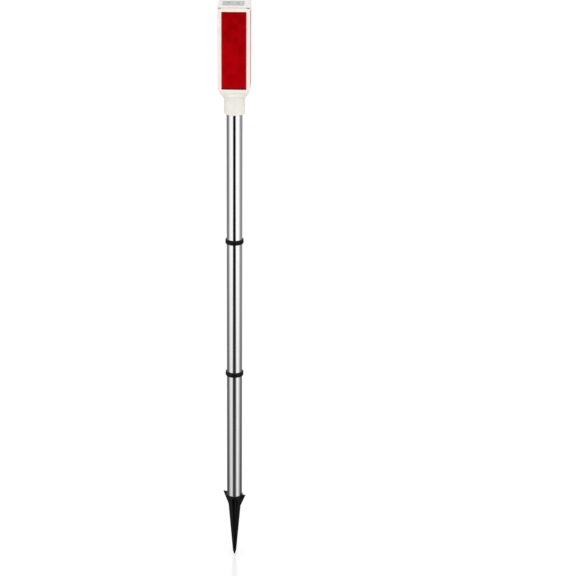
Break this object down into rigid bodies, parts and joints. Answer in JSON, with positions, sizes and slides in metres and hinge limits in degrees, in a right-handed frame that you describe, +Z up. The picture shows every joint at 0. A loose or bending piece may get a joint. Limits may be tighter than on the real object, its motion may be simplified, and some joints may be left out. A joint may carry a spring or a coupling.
{
  "type": "solar driveway marker",
  "caption": "Square solar reflector head with tall red panels on a slim sectional chrome pole with black couplers and a finned ground spike.",
  "frame": {"origin": "on the pole's axis at ground level, at the rim of the spike's cup that holds the lower tube", "axes": "+Z up along the pole, -Y the way the head's front reflector faces, +X to the head's right reflector seen from the front"},
  "size_m": [0.05, 0.05, 0.9553],
  "materials": {
    "white_plastic": "satin",
    "collar_plastic": "satin",
    "cap_plastic": "satin",
    "red_reflector": "gloss",
    "polished_tube": "polished",
    "black_plastic": "satin",
    "seal_rubber": "matte",
    "solar_cell": "gloss",
    "clear_cover": "gloss",
    "board": "satin",
    "component_black": "satin",
    "lamp_lens": "gloss",
    "screw_steel": "brushed",
    "battery_wrap": "gloss",
    "contact_steel": "plated",
    "lead_insulation": "satin"
  },
  "bodies": {
    "spike": {"ground_spike": "black_plastic"},
    "lower_section": {"pole_lower": "polished_tube", "coupler_lower": "black_plastic"},
    "middle_section": {"pole_middle": "polished_tube"},
    "upper_joint": {"coupler_upper": "black_plastic"},
    "upper_section": {"pole_upper": "polished_tube"},
    "head": {"neck_collar": "collar_plastic", "head_housing": "white_plastic", "reflector_front": "red_reflector", "reflector_right": "red_reflector", "reflector_back": "red_reflector", "reflector_left": "red_reflector"},
    "cap_module": {"cap_gasket": "seal_rubber", "top_cap": "cap_plastic", "solar_cell": "solar_cell", "cell_cover": "clear_cover", "inner_tray": "white_plastic", "tray_screws": "screw_steel", "circuit_board": "board", "board_screws": "screw_steel", "circuit_components": "component_black", "leds": "lamp_lens", "battery_holder": "black_plastic", "battery": "battery_wrap", "battery_spring": "contact_steel", "battery_contact": "contact_steel", "switch_body": "component_black", "solar_leads": "lead_insulation", "battery_leads": "lead_insulation"},
    "switch": {"switch_knob": "component_black"}
  },
  "joints": [
    {"name": "lower_pull", "type": "slide", "parent": "spike", "child": "lower_section", "axis": [0, 0, 1], "range_m": [0, 0.032]},
    {"name": "middle_pull", "type": "slide", "parent": "lower_section", "child": "middle_section", "axis": [0, 0, 1], "range_m": [0, 0.032]},
    {"name": "upper_pull", "type": "slide", "parent": "middle_section", "child": "upper_joint", "axis": [0, 0, 1], "range_m": [0, 0.032]},
    {"name": "head_turn", "type": "hinge", "parent": "upper_joint", "child": "upper_section", "pos_m": [0, 0, 0.45885], "axis": [0, 0, 1], "continuous": true},
    {"name": "head_pull", "type": "slide", "parent": "upper_section", "child": "head", "axis": [0, 0, 1], "range_m": [0, 0.03]},
    {"name": "cap_lift", "type": "slide", "parent": "head", "child": "cap_module", "axis": [0, 0, 1], "range_m": [0, 0.08]},
    {"name": "switch_slide", "type": "slide", "parent": "cap_module", "child": "switch", "axis": [1, 0, 0], "range_m": [0, 0.0034]}
  ]
}
